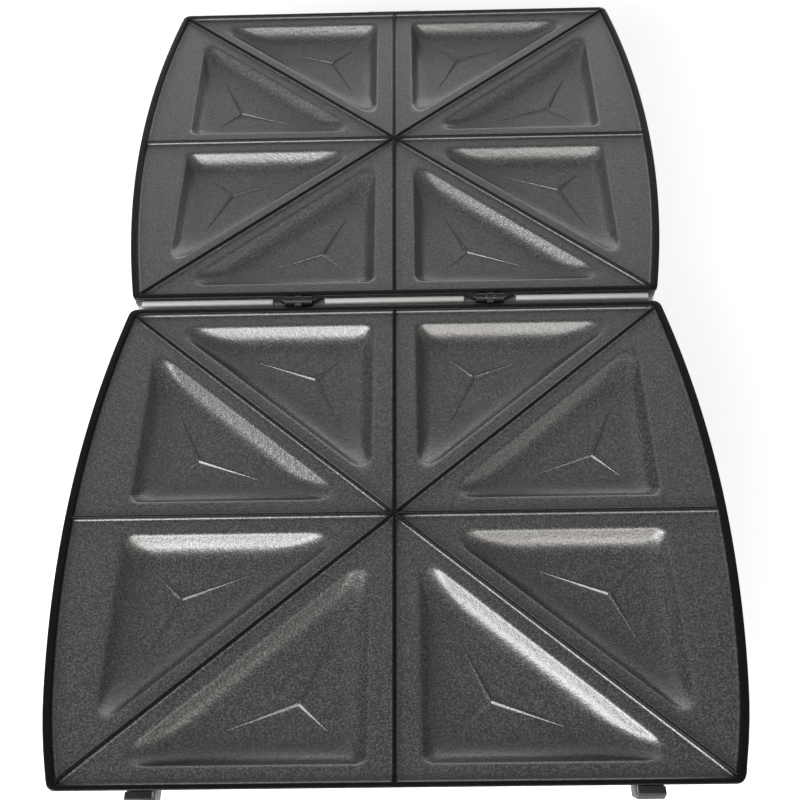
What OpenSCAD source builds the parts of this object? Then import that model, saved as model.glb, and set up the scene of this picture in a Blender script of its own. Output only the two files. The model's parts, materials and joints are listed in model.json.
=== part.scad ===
// Four-slice sandwich toaster with removable non-stick plates, shown opened flat.
// X runs along the hinge, the base lies towards -Y, the lid towards +Y, and the table is Z = 0.
// Both halves share one half frame: x along the hinge, y away from the hinge axis, z = 0 at the
// rim tops of the plate and negative below them. on_base() and on_lid() put a half in its place.

/* [Plates] */
// Widest width of a plate, across its bowed sides
plate_w = 291; // [250:1:350]
// Depth of a plate, from its hinge edge to its front edge
plate_d = 244; // [203:1:292]
// Radius of the bowed sides
bow_r = 616; // [500:1:1200]
// Corner radius of a plate
plate_corner_r = 4; // [3:0.5:8]
// Thickness of the plate's metal
plate_t = 3; // [2:0.1:3.6]
// Height of the rim and of the sealing ribs above the deck
rib_h = 2.2; // [1.8:0.1:2.8]
// Width of a sealing rib at its foot
rib_w = 3.3; // [2.8:0.1:4.5]
// Width of the rim along the sides and the hinge edge
rim_w = 3.6; // [3:0.1:5]
// Width of the rim along the front edge
rim_front_w = 2.4; // [2:0.1:4]
// Height of the plate's outer edge, from the rim top down
edge_h = 2.9; // [2.6:0.1:3.2]

/* [Pockets] */
// Depth of a sandwich pocket below the deck
pocket_h = 8.5; // [6:0.1:10]
// Width of a pocket's sloping wall, seen from above
pocket_slope = 7; // [5:0.1:9]
// Gap between a pocket and the rim, at the front and hinge edges
pocket_edge_gap = 7.6; // [6:0.1:14]
// Gap between a pocket and the plate's corner, measured along X
pocket_side_gap = 14.8; // [10:0.1:24]
// Gap between a pocket and the middle of the rib that runs from hinge to front
pocket_rib_gap_x = 10.5; // [7:0.1:16]
// Gap between a pocket and the middle of the rib that runs from side to side
pocket_rib_gap_y = 8.6; // [7:0.1:16]
// Gap between a pocket and the middle of the diagonal rib
pocket_diagonal_gap = 7.6; // [5:0.1:12]
// Radius of a pocket's right-angled corner
pocket_corner_r = 4; // [3:0.5:6]
// Radius of a pocket's two pointed corners
pocket_tip_r = 6; // [4:0.5:8]
// Length of the two long arms of the Y-shaped rib on a pocket floor
y_arm_long = 24; // [14:0.5:28]
// Length of its short arm
y_arm_short = 13; // [8:0.5:16]

/* [Housings] */
// Height of the plates' rim tops above the table
rim_z = 48; // [46:1:60]
// Height of the rubber feet that show below a housing
foot_h = 3.5; // [2:0.5:6]
// Wall thickness of a housing
wall_t = 2.5; // [2:0.1:3]
// How far the front wall leans in for each millimetre of depth
front_rake = 0.37; // [0.2:0.01:0.45]
// How far the side walls lean in from top to bottom
side_draft = 2.4; // [1:0.1:5]
// Radius of the housing's lower edge
belly_r = 9; // [6:0.5:12]

/* [Hinge] */
// Gap between the two plates when the toaster lies open
hinge_gap = 7; // [6.8:0.1:9]
// Gap between the two rims when the toaster is closed
closed_gap = 0.4; // [0.2:0.1:1]
// Distance of a hinge from the middle
hinge_x = 48.5; // [30:0.5:80]
// Radius of a hinge pin
pin_r = 1.2; // [1:0.1:1.4]
// Radius of the base ear around the pin
ear_r = 2.4; // [2.2:0.1:2.6]
// Width of the base ear, along the pin
ear_w = 3.4; // [2.5:0.1:5]
// Width of each lid knuckle, along the pin
knuckle_w = 5; // [3:0.1:7]
// Running clearance of a pin in its ear, on the radius
pin_clearance = 0.05; // [0.02:0.01:0.1]

/* [Handle and latch] */
// Half the length of the handle, across its ends
handle_half = 66; // [50:1:80]
// How far the handle reaches out from the plate's front edge
handle_reach = 38.5; // [34:0.5:50]
// Thickness of the handle bar, seen from above
handle_t = 12; // [9:0.5:14]
// Height of the handle bar
handle_h = 13; // [10:0.5:14]
// Width of the latch
latch_w = 24; // [16:0.5:34]
// Thickness of the latch
latch_t = 3.2; // [2.5:0.1:4]

/* [Plate locks] */
// Distance of a plate lock from the middle
lock_x = 96.4; // [70:0.5:110]
// Width of a plate lock
lock_w = 12.7; // [10:0.1:18]
// Width of the lug on the plate that it holds
lug_w = 10; // [6:0.1:10]
// Travel of a plate lock, towards the middle
lock_travel = 12; // [11.5:0.5:20]

/* [Heating] */
// Radius of the tubular heating element
heater_r = 3.25; // [3:0.05:4]
// Half the width of the element's loop
heater_half_x = 88; // [70:1:100]
// Half the depth of the element's loop
heater_half_y = 70; // [55:1:82]
// Bend radius of the element
heater_bend_r = 22; // [15:1:30]

/* [Cord inlet] */
// Radius of the hole through the cord gland
gland_bore_r = 3.7; // [3:0.1:4.5]
// Distance of the gland from the hinge axis
gland_y = 34; // [28:1:60]

/* [Hidden] */
$fn = 48;

seat = 0.3;             // clearance between neighbouring pieces
lock_reach = 3.6;       // how far a plate lock stands out from the plate's front edge
arc_steps = 14;         // straight steps along a bowed side
corner_steps = 5;       // straight steps round a corner
edge_y = hinge_gap / 2; // hinge edge of a plate, from the hinge axis
front_y = edge_y + plate_d;
mid_y = (edge_y + rim_w + front_y - rim_front_w) / 2; // the deck's middle, where the ribs cross
axis_z = closed_gap / 2;
arc_x = bow_r - plate_w / 2;
deck_z = -rib_h;
under_z = deck_z - plate_t;
floor_z = -rim_z;
bottom_z = floor_z + foot_h;
inner_bottom_z = bottom_z + wall_t;
corner_half = half_width(front_y);
hinge_y = -(handle_reach - lock_reach) / 2; // keeps the whole part centred on the origin

function half_width(y, inset = 0) = sqrt(pow(bow_r - inset, 2) - pow(y - mid_y, 2)) - arc_x;

// One corner of an outline: the centre of its rounding, and the angle where the side's arc meets it.
function corner_centre(side, y, r) = [half_width(y, side + r), y];
function corner_angle(side, y, r) = atan2(y - mid_y, half_width(y, side + r) + arc_x);
function arc_points(c, r, from, to, steps) =
    [for (i = [0:steps]) c + r * [cos(from + (to - from) * i / steps), sin(from + (to - from) * i / steps)]];

// The plate's outline, pulled in by its own amount at the sides, the hinge edge and the front edge.
function outline(side, hinge, front, r = plate_corner_r) =
    let (
        y0 = edge_y + hinge + r,
        y1 = front_y - front - r,
        a0 = corner_angle(side, y0, r),
        a1 = corner_angle(side, y1, r),
        right = concat(
            arc_points(corner_centre(side, y0, r), r, -90, a0, corner_steps),
            [for (i = [1:arc_steps - 1])
                let (a = a0 + (a1 - a0) * i / arc_steps)
                [(bow_r - side) * cos(a) - arc_x, mid_y + (bow_r - side) * sin(a)]],
            arc_points(corner_centre(side, y1, r), r, a1, 90, corner_steps)
        )
    )
    concat(right, [for (i = [len(right) - 1:-1:0]) [-right[i].x, right[i].y]]);

function at_height(points, z) = [for (p = points) [p.x, p.y, z]];

// A skin through rings of equal count, from the top ring down. A closed skin joins the last ring
// to the first, and an open one gets a flat cap at each end.
module loft(rings, closed = false) {
    n = len(rings[0]);
    m = len(rings);
    bands = closed ? m : m - 1;
    sides = [
        for (j = [0:bands - 1], i = [0:n - 1])
        let (k = (i + 1) % n, a = j * n, b = ((j + 1) % m) * n)
        each [[a + i, a + k, b + k], [a + i, b + k, b + i]]
    ];
    caps = closed ? [] : [[for (i = [n - 1:-1:0]) i], [for (i = [0:n - 1]) (m - 1) * n + i]];
    polyhedron([for (ring = rings) each ring], concat(sides, caps));
}

module on_base() {
    translate([0, hinge_y, rim_z]) mirror([0, 1, 0]) children();
}

module on_lid() {
    translate([0, hinge_y, rim_z]) children();
}

module both_sides() {
    children();
    mirror([1, 0, 0]) children();
}

// Copies about the plate's middle, one in each quarter.
module four_quarters() {
    translate([0, mid_y, 0])
    both_sides() {
        children();
        mirror([0, 1, 0]) children();
    }
}

module tube_x(r, x0, x1) {
    translate([x0, 0, 0]) rotate([0, 90, 0]) cylinder(r = r, h = x1 - x0);
}

// Stretches a flat profile drawn in (y, z) along X, from -w / 2 to w / 2.
module along_x(w) {
    rotate([90, 0, 90]) linear_extrude(w, center = true) children();
}

module block(lo, hi) {
    translate(lo) cube(hi - lo);
}

// A flat rectangle with rounded corners, drawn about its centre.
module rounded_rect(w, h, r) {
    square([w - 2 * r, h], center = true);
    square([w, h - 2 * r], center = true);
    for (x = [-1, 1], y = [-1, 1]) translate([x * (w / 2 - r), y * (h / 2 - r)]) circle(r);
}

// ---------------------------------------------------------------- plates

shell_t = 2.2;           // metal thickness of a pocket's floor
pocket_lead = 1;         // how far a pocket cutter starts above the deck
y_rib_w = 2.2;           // width of a Y arm where the three meet
y_rib_h = 1;             // its height there
y_rib_sink = 0.3;        // how deep the arms run into the floor
hub_r = 3.2;             // boss where the four ribs cross
hub_h = 1.7;
lug_reach = 1.6;         // front lugs that the plate locks hold
lug_top = 2.1;
lug_foot = 4.9;
toe_x = 90;              // toes that hook under the housing at the hinge edge
toe_w = 10;
toe_t = 1.8;
leg_in = 7;
leg_t = 2.2;

deck_half = (front_y - rim_front_w) - mid_y;
diagonal_slope = (front_y - mid_y) / corner_half;
diagonal_angle = atan(diagonal_slope);
pocket_floor_z = deck_z - pocket_h;
pocket_under_z = pocket_floor_z - shell_t;

// A pocket's section: how far each ring is pulled in from the opening, and its depth as a share.
pocket_section = [[0, 0], [0.14, 0.07], [0.55, 0.5], [0.88, 0.83], [1.16, 0.96], [1.6, 1]];

// The two kinds of pocket in a quarter are right-angled triangles. An "edge" pocket lies along the
// front or hinge edge, a "side" pocket along a bowed side. t pulls all three sides in.
function pocket_corners(kind, t) =
    let (
        edge = kind == "edge",
        x = edge ? pocket_rib_gap_x + t : corner_half - pocket_side_gap - t,
        y = edge ? deck_half - pocket_edge_gap - t : pocket_rib_gap_y + t,
        rise = (edge ? 1 : -1) * (pocket_diagonal_gap + t) / cos(diagonal_angle)
    )
    [[x, y], [x, diagonal_slope * x + rise], [(y - rise) / diagonal_slope, y]];

function unit(v) = v / norm(v);
function round_corner(before, at, after, r, steps) =
    let (
        d0 = unit(before - at),
        d1 = unit(after - at),
        half = acos(d0 * d1) / 2,
        c = at + unit(d0 + d1) * r / sin(half),
        s = at + d0 * r / tan(half) - c,
        e = at + d1 * r / tan(half) - c,
        turn = atan2(s.x * e.y - s.y * e.x, s * e)
    )
    arc_points(c, r, atan2(s.y, s.x), atan2(s.y, s.x) + turn, steps);

function pocket_ring(kind, t) =
    let (p = pocket_corners(kind, t))
    concat(
        round_corner(p[2], p[0], p[1], pocket_corner_r, 4),
        round_corner(p[0], p[1], p[2], pocket_tip_r, 4),
        round_corner(p[1], p[2], p[0], pocket_tip_r, 4)
    );

// The space of a pocket, and with a thickness the metal that is pressed down round it.
module pocket(kind, thickness = 0) {
    start = thickness > 0 ? -plate_t / 2 : pocket_lead;
    grow = thickness * 0.55;
    loft(concat(
        [at_height(pocket_ring(kind, -grow), deck_z + start)],
        [for (s = pocket_section)
            if (thickness == 0 || s[1] > 0.3)
            at_height(pocket_ring(kind, s[0] * pocket_slope - grow), deck_z - s[1] * pocket_h - thickness)]
    ));
}

// One arm of the Y: a ridge that starts full at one end and fades into the floor at the other.
module ridge(from, to) {
    along = unit(to - from);
    across = [-along.y, along.x] * y_rib_w / 2;
    low = pocket_floor_z - y_rib_sink;
    polyhedron(
        [[from.x - across.x, from.y - across.y, low], [from.x + across.x, from.y + across.y, low],
         [from.x, from.y, pocket_floor_z + y_rib_h], [to.x, to.y, low]],
        [[0, 3, 1], [0, 1, 2], [0, 2, 3], [1, 3, 2]]
    );
}

// The Y stands where the three corner bisectors meet, with one arm towards each corner.
module y_rib(kind) {
    p = pocket_corners(kind, 0);
    a = norm(p[1] - p[2]);
    b = norm(p[2] - p[0]);
    c = norm(p[0] - p[1]);
    centre = (a * p[0] + b * p[1] + c * p[2]) / (a + b + c);
    for (i = [0:2]) {
        reach = i == 0 ? y_arm_short : y_arm_long;
        ridge(centre - unit(p[i] - centre) * y_rib_w * 0.33, centre + unit(p[i] - centre) * reach);
    }
}

// A sealing rib through the plate's middle, along X before it is turned.
module sealing_rib(length, turn) {
    foot = -rib_h / rib_w - 0.01;
    translate([0, mid_y, 0]) rotate([0, 0, turn])
    along_x(length)
    polygon(rib_w * [[-0.5, -1], [-0.5, foot], [-0.26, foot + 0.12], [-0.18, -0.13], [-0.1, -0.01],
                     [0.1, -0.01], [0.18, -0.13], [0.26, foot + 0.12], [0.5, foot], [0.5, -1]]);
}

module flat_outline(inset, z0, z1) {
    translate([0, 0, z0]) linear_extrude(z1 - z0) polygon(outline(inset, inset, inset));
}

slab_in = 3.4;           // the plate's body stays this far inside its rim, within the housing's ledge
slab_lip = 0.9;          // height of the body's side below the rim's sloping underside
deck_t = 0.9;            // the deck's top layer, which runs into the rim's foot

// A ring of the rim's section: a share of the rim's width inwards, and then a fixed distance more.
function rim_ring(share, more, z) =
    at_height(outline(share * rim_w + more, share * rim_w + more, share * rim_front_w + more), z);

// The raised rim, flat on top and steep inside, and the thin outer edge that overhangs the housing.
module rim() {
    loft([
        rim_ring(1, 1.2, deck_z - 0.6), rim_ring(1, 0.35, deck_z - 0.03), rim_ring(0.96, 0, deck_z + 0.4),
        rim_ring(0.9, 0, -0.4), rim_ring(0.78, 0, 0),
        rim_ring(0.22, 0, 0), rim_ring(0.06, 0, -0.35), rim_ring(0, 0, -0.95), rim_ring(0, 0, -edge_h),
        rim_ring(0, 1, -edge_h), rim_ring(0, slab_in + 0.1, under_z + slab_lip)
    ], closed = true);
}

module plate_toe() {
    translate([toe_x, 0, 0])
    along_x(toe_w)
    polygon([[edge_y + leg_in, deck_z - 1], [edge_y + leg_in, toe_z], [edge_y + leg_in - 5, toe_z],
             [edge_y + leg_in - 5, toe_z - toe_t * 0.7], [edge_y + leg_in - 4, toe_z - toe_t],
             [edge_y + leg_in + leg_t, toe_z - toe_t], [edge_y + leg_in + leg_t, deck_z - 1]]);
}

module plate() {
    difference() {
        union() {
            flat_outline(slab_in, under_z, deck_z - 0.4);
            translate([0, 0, deck_z - deck_t]) linear_extrude(deck_t)
                polygon(outline(0.7 * rim_w, 0.7 * rim_w, 0.7 * rim_front_w));
            rim();
            intersection() {
                flat_outline(rim_w * 0.5, deck_z - 1, 1);
                union() {
                    sealing_rib(plate_w, 0);
                    sealing_rib(plate_d, 90);
                    for (s = [-1, 1]) sealing_rib(2 * norm([corner_half, plate_d / 2]), s * diagonal_angle);
                }
            }
            translate([0, mid_y, deck_z - 1]) cylinder(r1 = hub_r, r2 = hub_r * 0.6, h = hub_h + 1);
            four_quarters() {
                pocket("edge", shell_t);
                pocket("side", shell_t);
            }
            both_sides() {
                plate_toe();
                block([lock_x - lug_w / 2, front_y - 0.8, -lug_foot],
                      [lock_x + lug_w / 2, front_y + lug_reach, -lug_top]);
            }
        }
        four_quarters() {
            pocket("edge");
            pocket("side");
        }
    }
    four_quarters() {
        y_rib("edge");
        y_rib("side");
    }
}

module lower_plate() {
    color("#4a4f4e") on_base() plate();
}

module upper_plate() {
    color("#4a4f4e") on_lid() plate();
}

// ---------------------------------------------------------------- housings

touch = 0.05;            // gap between two pieces that rest on each other
shoulder_z = -edge_h - 0.6;
ledge_z = under_z - touch;
shelf_z = ledge_z - wall_t;
toe_z = shelf_z - 0.4;
ledge_out = 3;           // the ledge that the plate's body rests on, inside the shoulder
ledge_in = ledge_out + wall_t;
ledge_lip = 0.35;        // how far the shoulder's inner wall rises above the ledge
side_in = 0.8;           // how far a housing's side stays inside the plate's outline
front_in = 0.5;
hinge_in = 0.6 - edge_y; // the rear wall reaches under the gap, almost to the hinge axis
housing_corner_r = 5;
ledge_corner_r = 3;
belly_steps = 4;
wall_foot_z = bottom_z + belly_r;

function draft(z) = side_draft * (shoulder_z - z) / (shoulder_z - bottom_z);
function front_inset(z) = front_in - front_rake * z;
function wall_ring(z, inset) =
    at_height(outline(side_in + draft(z) + inset, hinge_in + draft(z) + inset, front_inset(z) + inset,
                      housing_corner_r), z);
function ledge_ring(inset, z) = at_height(outline(inset, inset, inset, ledge_corner_r), z);

// The rounded lower edge of a wall, as rings from the wall's foot to the flat bottom.
function belly_rings(z, r, inset) =
    [for (i = [1:belly_steps])
        let (a = 90 * i / belly_steps)
        wall_ring(z + r * (1 - sin(a)), inset + r * (1 - cos(a)))];

function outer_rings(grow = 0) = concat(
    [wall_ring(shoulder_z, -grow), wall_ring(wall_foot_z, -grow)],
    belly_rings(bottom_z, belly_r, -grow)
);
function inner_rings() = concat(
    [wall_ring(shelf_z, wall_t), wall_ring(wall_foot_z, wall_t)],
    belly_rings(inner_bottom_z, belly_r - wall_t, wall_t)
);
function reversed(v) = [for (i = [len(v) - 1:-1:0]) v[i]];

// An open tray: up inside the wall, over the ledge, up the sloping shoulder, and down outside.
module tray() {
    loft(concat(
        reversed(inner_rings()),
        [ledge_ring(ledge_in, shelf_z), ledge_ring(ledge_in, ledge_z),
         ledge_ring(ledge_out, ledge_z), ledge_ring(ledge_out, ledge_z + ledge_lip)],
        outer_rings()
    ));
}

post_x = 70;             // posts that carry the reflector
post_y = 58;
post_r = 4.5;
screw_r = 1.5;
reflector_t = 0.8;
reflector_z = pocket_under_z - 2 * heater_r - 2.8; // top face of the reflector's floor

module at_posts() {
    translate([0, mid_y, 0])
        for (x = [-post_x, post_x], y = [-post_y, post_y]) translate([x, y, 0]) children();
}

foot_r = 9;
foot_hole_r = 2.6;
foot_recess = 0.8;
foot_x = plate_w / 2 - 47;
foot_from_edge = 34;

module at_feet() {
    for (x = [-foot_x, foot_x], y = [edge_y + foot_from_edge, front_y - foot_from_edge - 8])
        translate([x, y, 0]) children();
}

stem_t = 3;              // the stem of a plate lock, which slides in a slot in the front wall
stem_w = 8;
stem_top = shelf_z - 0.3;
slot_play = 0.3;

module lock_slot() {
    block([lock_x - lock_travel - stem_w / 2 - slot_play, front_y - 20, stem_top - stem_t - slot_play],
          [lock_x + stem_w / 2 + slot_play, front_y + 5, stem_top + slot_play]);
}

hinge_screw_y = edge_y + ledge_out + 0.7;
hinge_screw_x = 9.5;
hinge_screw_r = 1.25;

module at_hinges() {
    for (x = [-hinge_x, hinge_x]) translate([x, 0, 0]) children();
}

module at_hinge_screws() {
    at_hinges() for (x = [-hinge_screw_x, hinge_screw_x]) translate([x, hinge_screw_y, 0]) children();
}

// What both housings share: the tray, the reflector's posts, and the holes for feet, locks and screws.
module housing_blank() {
    difference() {
        union() {
            tray();
            at_posts() translate([0, 0, inner_bottom_z - 0.5])
                cylinder(r = post_r, h = reflector_z - reflector_t - touch - inner_bottom_z + 0.5);
            children();
        }
        at_posts() translate([0, 0, inner_bottom_z + 3]) cylinder(r = screw_r, h = rim_z);
        at_feet() {
            translate([0, 0, bottom_z - 1]) cylinder(r = foot_r + 0.1, h = 1 + foot_recess);
            translate([0, 0, bottom_z - 1]) cylinder(r = foot_hole_r, h = wall_t + 2);
        }
        at_hinge_screws() translate([0, 0, shelf_z - 1]) cylinder(r = hinge_screw_r, h = wall_t + 0.7);
        both_sides() lock_slot();
    }
}

strike_depth = 7.1;      // height of the wall that the latch hooks under
strike_top = shoulder_z - strike_depth;
strike_h = 5.4;
vent_w = 3;
vent_l = 34;
vent_pitch = 9;
vent_count = 7;
boss_r = 12;
gland_z = -30;
gland_x = half_width(gland_y) - 0.5;
gland_neck_r = 6.2;

module strike_window() {
    block([-latch_w / 2 - 0.6, front_y - 20, strike_top - strike_h],
          [latch_w / 2 + 0.6, front_y + 5, strike_top]);
}

// The notch in a housing's rear wall for a hinge stem of width w.
module stem_slot(w) {
    block([-w / 2 - 0.3, 0, shelf_z - 1], [w / 2 + 0.3, stem_back + 0.3, shoulder_z + 1]);
}

module vent() {
    linear_extrude(3 * wall_t) {
        square([vent_w, vent_l - vent_w], center = true);
        for (s = [-1, 1]) translate([0, s * (vent_l - vent_w) / 2]) circle(vent_w / 2);
    }
}

module base_housing() {
    color("#f2f1ee")
    on_base()
    difference() {
        housing_blank() translate([0, gland_y, gland_z]) tube_x(boss_r, gland_x - 7, gland_x);
        translate([0, gland_y, gland_z]) tube_x(gland_neck_r + 0.1, gland_x - 20, gland_x + 1);
        strike_window();
        at_hinges() stem_slot(ear_w);
        for (i = [0:vent_count - 1])
            translate([(i - (vent_count - 1) / 2) * vent_pitch, mid_y, bottom_z - wall_t]) vent();
    }
}

lens_r = 4;
lens_x = 11;
lens_y = front_y - 62;
ear_gap = 0.4;           // gap at each side of the latch, between its two ears
latch_ear_t = 4;
pivot_y = front_y + 3.6; // the latch's pivot
pivot_z = -5.2;
latch_pin_r = 1.1;
handle_z = -33.5;
handle_bar_x = handle_half - handle_t / 2;
handle_screw_r = 1.7;
handle_drop = handle_reach - handle_t / 2 + front_inset(handle_z);
handle_bow_r = (handle_bar_x * handle_bar_x + handle_drop * handle_drop) / (2 * handle_drop);
handle_centre_y = front_y + handle_reach - handle_t / 2 - handle_bow_r;

module at_handle_screws() {
    for (s = [-1, 1]) translate([s * handle_bar_x, 0, handle_z]) rotate([-90, 0, 0]) children();
}

// The two ears that carry the latch's pin stand on the lid's front wall.
module latch_ear() {
    function on_wall(z) = [front_y - front_inset(z) - 0.6, z];
    translate([latch_w / 2 + ear_gap + latch_ear_t / 2, 0, 0])
    along_x(latch_ear_t) {
        translate([pivot_y, pivot_z]) circle(2.4);
        polygon([[pivot_y - 2.4, pivot_z], [pivot_y - 2.4, shoulder_z - 0.4], on_wall(shoulder_z - 0.4),
                 on_wall(-22), [front_y - 4, -18], [pivot_y, -11], [pivot_y + 2.4, pivot_z]]);
    }
}

module lid_housing() {
    color("#f2f1ee")
    on_lid()
    difference() {
        housing_blank() {
            both_sides() latch_ear();
            for (s = [-1, 1])
                translate([s * lamp_post_x, lens_y, inner_bottom_z - 0.5])
                cylinder(r = 3, h = board_z - touch - inner_bottom_z + 0.5);
        }
        translate([0, pivot_y, pivot_z]) tube_x(latch_pin_r, -latch_w, latch_w);
        at_hinges() for (s = [-1, 1]) translate([s * knuckle_x, 0, 0]) stem_slot(knuckle_w);
        for (x = [-lens_x, lens_x])
            translate([x, lens_y, bottom_z - 1]) cylinder(r = lens_r + 0.1, h = wall_t + 2);
        at_handle_screws() translate([0, 0, front_y - 40]) cylinder(r = handle_screw_r, h = 60);
    }
}

// ---------------------------------------------------------------- hinge

stem_back = 4.6;         // a hinge stem stands between the axis plane and this
stem_front = 0.9;
neck_back = edge_y - 0.3; // its upper part, beside the plate's edge
knuckle_r = 2.1;
knuckle_gap = 0.3;
knuckle_x = ear_w / 2 + knuckle_gap + knuckle_w / 2;
foot_plate_t = 2;
foot_plate_top = shelf_z - touch;
foot_plate_l = 26;
foot_plate_back = edge_y + 9;
shroud_w = 24.5;         // the lens-shaped shroud over a lid hinge
shroud_top = -0.3;
shroud_t = 2.4;
shroud_sag = 4.1;
shroud_slot = ear_w / 2 + knuckle_gap;

// A hinge leaf: a ring on the axis, a stem down through the shoulder, and its foot below it.
module hinge_leaf(ring_r, w) {
    along_x(w) {
        translate([0, axis_z]) circle(ring_r);
        polygon([[-ring_r * 0.75, axis_z - ring_r * 0.66], [stem_front, -4],
                 [stem_front, foot_plate_top - 0.5], [stem_back, foot_plate_top - 0.5],
                 [stem_back, shoulder_z - 0.1], [neck_back, shoulder_z + 0.4],
                 [neck_back, -1.2], [ring_r * 0.8, axis_z + ring_r * 0.6]]);
    }
}

module foot_plate() {
    difference() {
        block([-foot_plate_l / 2, hinge_in + edge_y + wall_t + 0.5, foot_plate_top - foot_plate_t],
              [foot_plate_l / 2, foot_plate_back, foot_plate_top]);
        for (x = [-hinge_screw_x, hinge_screw_x])
            translate([x, hinge_screw_y, foot_plate_top - 2 * foot_plate_t])
            cylinder(r = hinge_screw_r + 0.1, h = 3 * foot_plate_t);
    }
}

module base_hinge_ears() {
    color("#1c1c1d")
    on_base()
    at_hinges()
    difference() {
        union() {
            hinge_leaf(ear_r, ear_w);
            foot_plate();
        }
        translate([0, 0, axis_z]) tube_x(pin_r + pin_clearance, -ear_w, ear_w);
    }
}

module lid_hinge_lugs() {
    shroud_r = (shroud_w * shroud_w / 4 + shroud_sag * shroud_sag) / (2 * shroud_sag);
    color("#1c1c1d")
    on_lid()
    at_hinges()
    difference() {
        union() {
            for (s = [-1, 1]) translate([s * knuckle_x, 0, 0]) hinge_leaf(knuckle_r, knuckle_w);
            foot_plate();
            translate([0, 0, shroud_top - shroud_t])
            linear_extrude(shroud_t)
            intersection() {
                translate([0, edge_y - 0.3 - shroud_sag + shroud_r]) circle(shroud_r);
                translate([-shroud_w / 2, edge_y - 0.3 - shroud_sag]) square([shroud_w, shroud_sag]);
            }
        }
        translate([0, 0, axis_z]) tube_x(pin_r, -shroud_w, shroud_w);
        block([-shroud_slot, -edge_y, -edge_y], [shroud_slot, edge_y + 1, edge_y]);
    }
}

module hinge_pins() {
    color("silver")
    on_lid()
    at_hinges()
    translate([0, 0, axis_z])
    tube_x(pin_r, -knuckle_x - knuckle_w / 2, knuckle_x + knuckle_w / 2);
}

module hinge_screws() {
    at_hinge_screws() {
        under = foot_plate_top - foot_plate_t - touch;
        translate([0, 0, under]) cylinder(r = hinge_screw_r - 0.05, h = foot_plate_t + 2);
        translate([0, 0, under - 1.6]) cylinder(r = 2.4, h = 1.6);
    }
}

module base_hinge_screws() {
    color("silver") on_base() hinge_screws();
}

module lid_hinge_screws() {
    color("silver") on_lid() hinge_screws();
}

// ---------------------------------------------------------------- heating

clip_w = 8;
clip_t = 0.8;
heater_z = pocket_under_z - seat - clip_t - heater_r; // the clips' straps pass over the element
lead_x = 14;             // the element's two ends, beside the middle of the hinge side
lead_bend_r = 8;
lead_drop = 5;
lead_pin_r = 1.6;
lead_pin_h = 6;
pan_side = 16;           // the reflector pan's edge, inside the plate's outline
pan_front = 22;
pan_hinge = 14;
pan_slope = 6;
pan_lip_z = pocket_under_z - 2.2;

module quarter_bend(bend_r, r) {
    rotate_extrude(angle = 90) translate([bend_r, 0]) circle(r);
}

// A tubular element bent into a rounded loop, open at the hinge side, its ends turned down.
module heater() {
    straight_x = heater_half_x - heater_bend_r;
    straight_y = heater_half_y - heater_bend_r;
    inner_x = lead_x + lead_bend_r;
    translate([0, mid_y, heater_z]) {
        translate([0, heater_half_y, 0]) tube_x(heater_r, -straight_x, straight_x);
        both_sides() {
            translate([heater_half_x, -straight_y, 0])
                rotate([-90, 0, 0]) cylinder(r = heater_r, h = 2 * straight_y);
            translate([straight_x, straight_y, 0]) quarter_bend(heater_bend_r, heater_r);
            translate([straight_x, -straight_y, 0])
                rotate([0, 0, -90]) quarter_bend(heater_bend_r, heater_r);
            translate([0, -heater_half_y, 0]) {
                tube_x(heater_r, inner_x, straight_x);
                translate([inner_x, 0, -lead_bend_r]) rotate([90, 0, 0]) rotate([0, 0, 90])
                    quarter_bend(lead_bend_r, heater_r);
                translate([lead_x, 0, -lead_bend_r - lead_drop]) cylinder(r = heater_r, h = lead_drop);
                translate([lead_x, 0, -lead_bend_r - lead_drop - lead_pin_h])
                    cylinder(r = lead_pin_r, h = lead_pin_h + 1);
            }
        }
    }
}

// A strap over the element, with a foot at each side that stands on the reflector.
module clip_profile() {
    r = heater_r + touch;
    drop = heater_z - reflector_z - touch;
    difference() {
        union() {
            circle(r + clip_t);
            translate([-r - clip_t, -drop]) square([2 * (r + clip_t), drop]);
            translate([-r - 5, -drop]) square([2 * r + 10, clip_t]);
        }
        circle(r);
        translate([-r, -drop - 1]) square([2 * r, drop + 1]);
    }
}

module heater_clips() {
    translate([0, mid_y, heater_z]) {
        for (y = [heater_half_y], x = [-32, 32])
            translate([x, y, 0]) rotate([90, 0, 90]) linear_extrude(clip_w, center = true) clip_profile();
        for (x = [-44, 44])
            translate([x, -heater_half_y, 0])
            rotate([90, 0, 90]) linear_extrude(clip_w, center = true) clip_profile();
        for (x = [-heater_half_x, heater_half_x])
            translate([x, 0, 0]) rotate([90, 0, 0]) linear_extrude(clip_w, center = true) clip_profile();
    }
}

function pan_ring(inset, z) =
    at_height(outline(pan_side + inset, pan_hinge + inset, pan_front + inset, housing_corner_r), z);

// The pan under the element that throws its heat back to the plate.
module reflector() {
    difference() {
        loft([
            pan_ring(pan_slope, reflector_z), pan_ring(0, pan_lip_z),
            pan_ring(-reflector_t, pan_lip_z),
            pan_ring(pan_slope - reflector_t * 0.7, reflector_z - reflector_t)
        ]);
        at_posts() translate([0, 0, reflector_z - 5]) cylinder(r = screw_r, h = 10);
        translate([0, mid_y - heater_half_y, reflector_z - 5])
            for (s = [-1, 1]) translate([s * (lead_x + 0.6), 0, 0]) cylinder(r = heater_r + 1.4, h = 10);
        children();
    }
}

module reflector_screws() {
    head_z = reflector_z + touch;
    at_posts() {
        translate([0, 0, head_z]) cylinder(r1 = 2.8, r2 = 1.9, h = 1.8);
        translate([0, 0, head_z - 10]) cylinder(r = screw_r - 0.05, h = 10.2);
    }
}

module lower_heater() {
    color("#5b5d5e") on_base() heater();
}

module upper_heater() {
    color("#5b5d5e") on_lid() heater();
}

module lower_heater_clips() {
    color("silver") on_base() heater_clips();
}

module upper_heater_clips() {
    color("silver") on_lid() heater_clips();
}

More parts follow.
